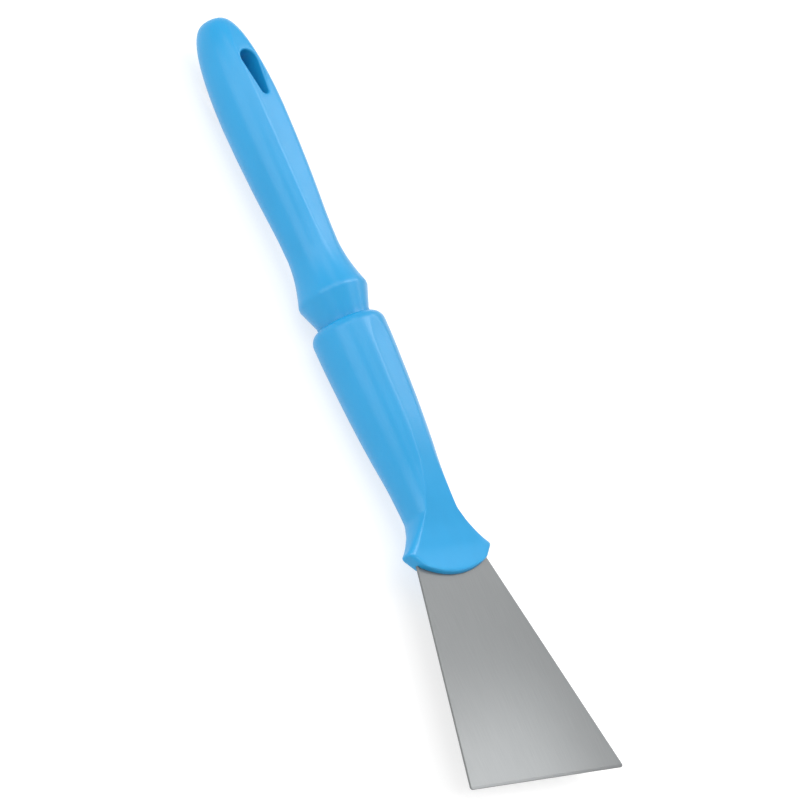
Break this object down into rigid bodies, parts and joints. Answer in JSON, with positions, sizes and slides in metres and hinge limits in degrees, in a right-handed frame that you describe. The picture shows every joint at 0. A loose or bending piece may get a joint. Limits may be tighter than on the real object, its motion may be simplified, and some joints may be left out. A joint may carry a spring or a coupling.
{
  "type": "hand scraper",
  "caption": "Hand scraper with a flat trapezoid steel blade in a flared handle, and a long grip with a hanging slot that screws into the handle.",
  "frame": {"origin": "centre of the bounding box in X and Y, at the underside of the handle's shoulder, on which the tool lies", "axes": "+X along the tool towards the blade's working edge, +Y across the blade, +Z out of the blade's front face"},
  "size_m": [0.3786, 0.0994, 0.0345],
  "materials": {
    "brushed_steel": "satin, rolled along the tool",
    "blue_handle_plastic": "smooth, semi-matte",
    "blue_grip_plastic": "smooth, semi-matte",
    "grey_plug_plastic": "matte"
  },
  "bodies": {
    "scraper": {"blade": "brushed_steel", "scraper_handle": "blue_handle_plastic"},
    "screw_core": {"core_plug": "grey_plug_plastic"},
    "grip": {"grip_handle": "blue_grip_plastic"}
  },
  "joints": [
    {"name": "grip_travel", "type": "slide", "parent": "scraper", "child": "screw_core", "axis": [-1, 0, 0], "range_m": [0, 0.0211]},
    {"name": "grip_screw", "type": "hinge", "parent": "screw_core", "child": "grip", "pos_m": [-0.0371, 0, 0.01725], "axis": [-1, 0, 0], "range_deg": [0, 1512]}
  ],
  "couplings": [
    {"joint": "grip_travel", "follows": "grip_screw", "m_per_rad": 0.00079577}
  ]
}
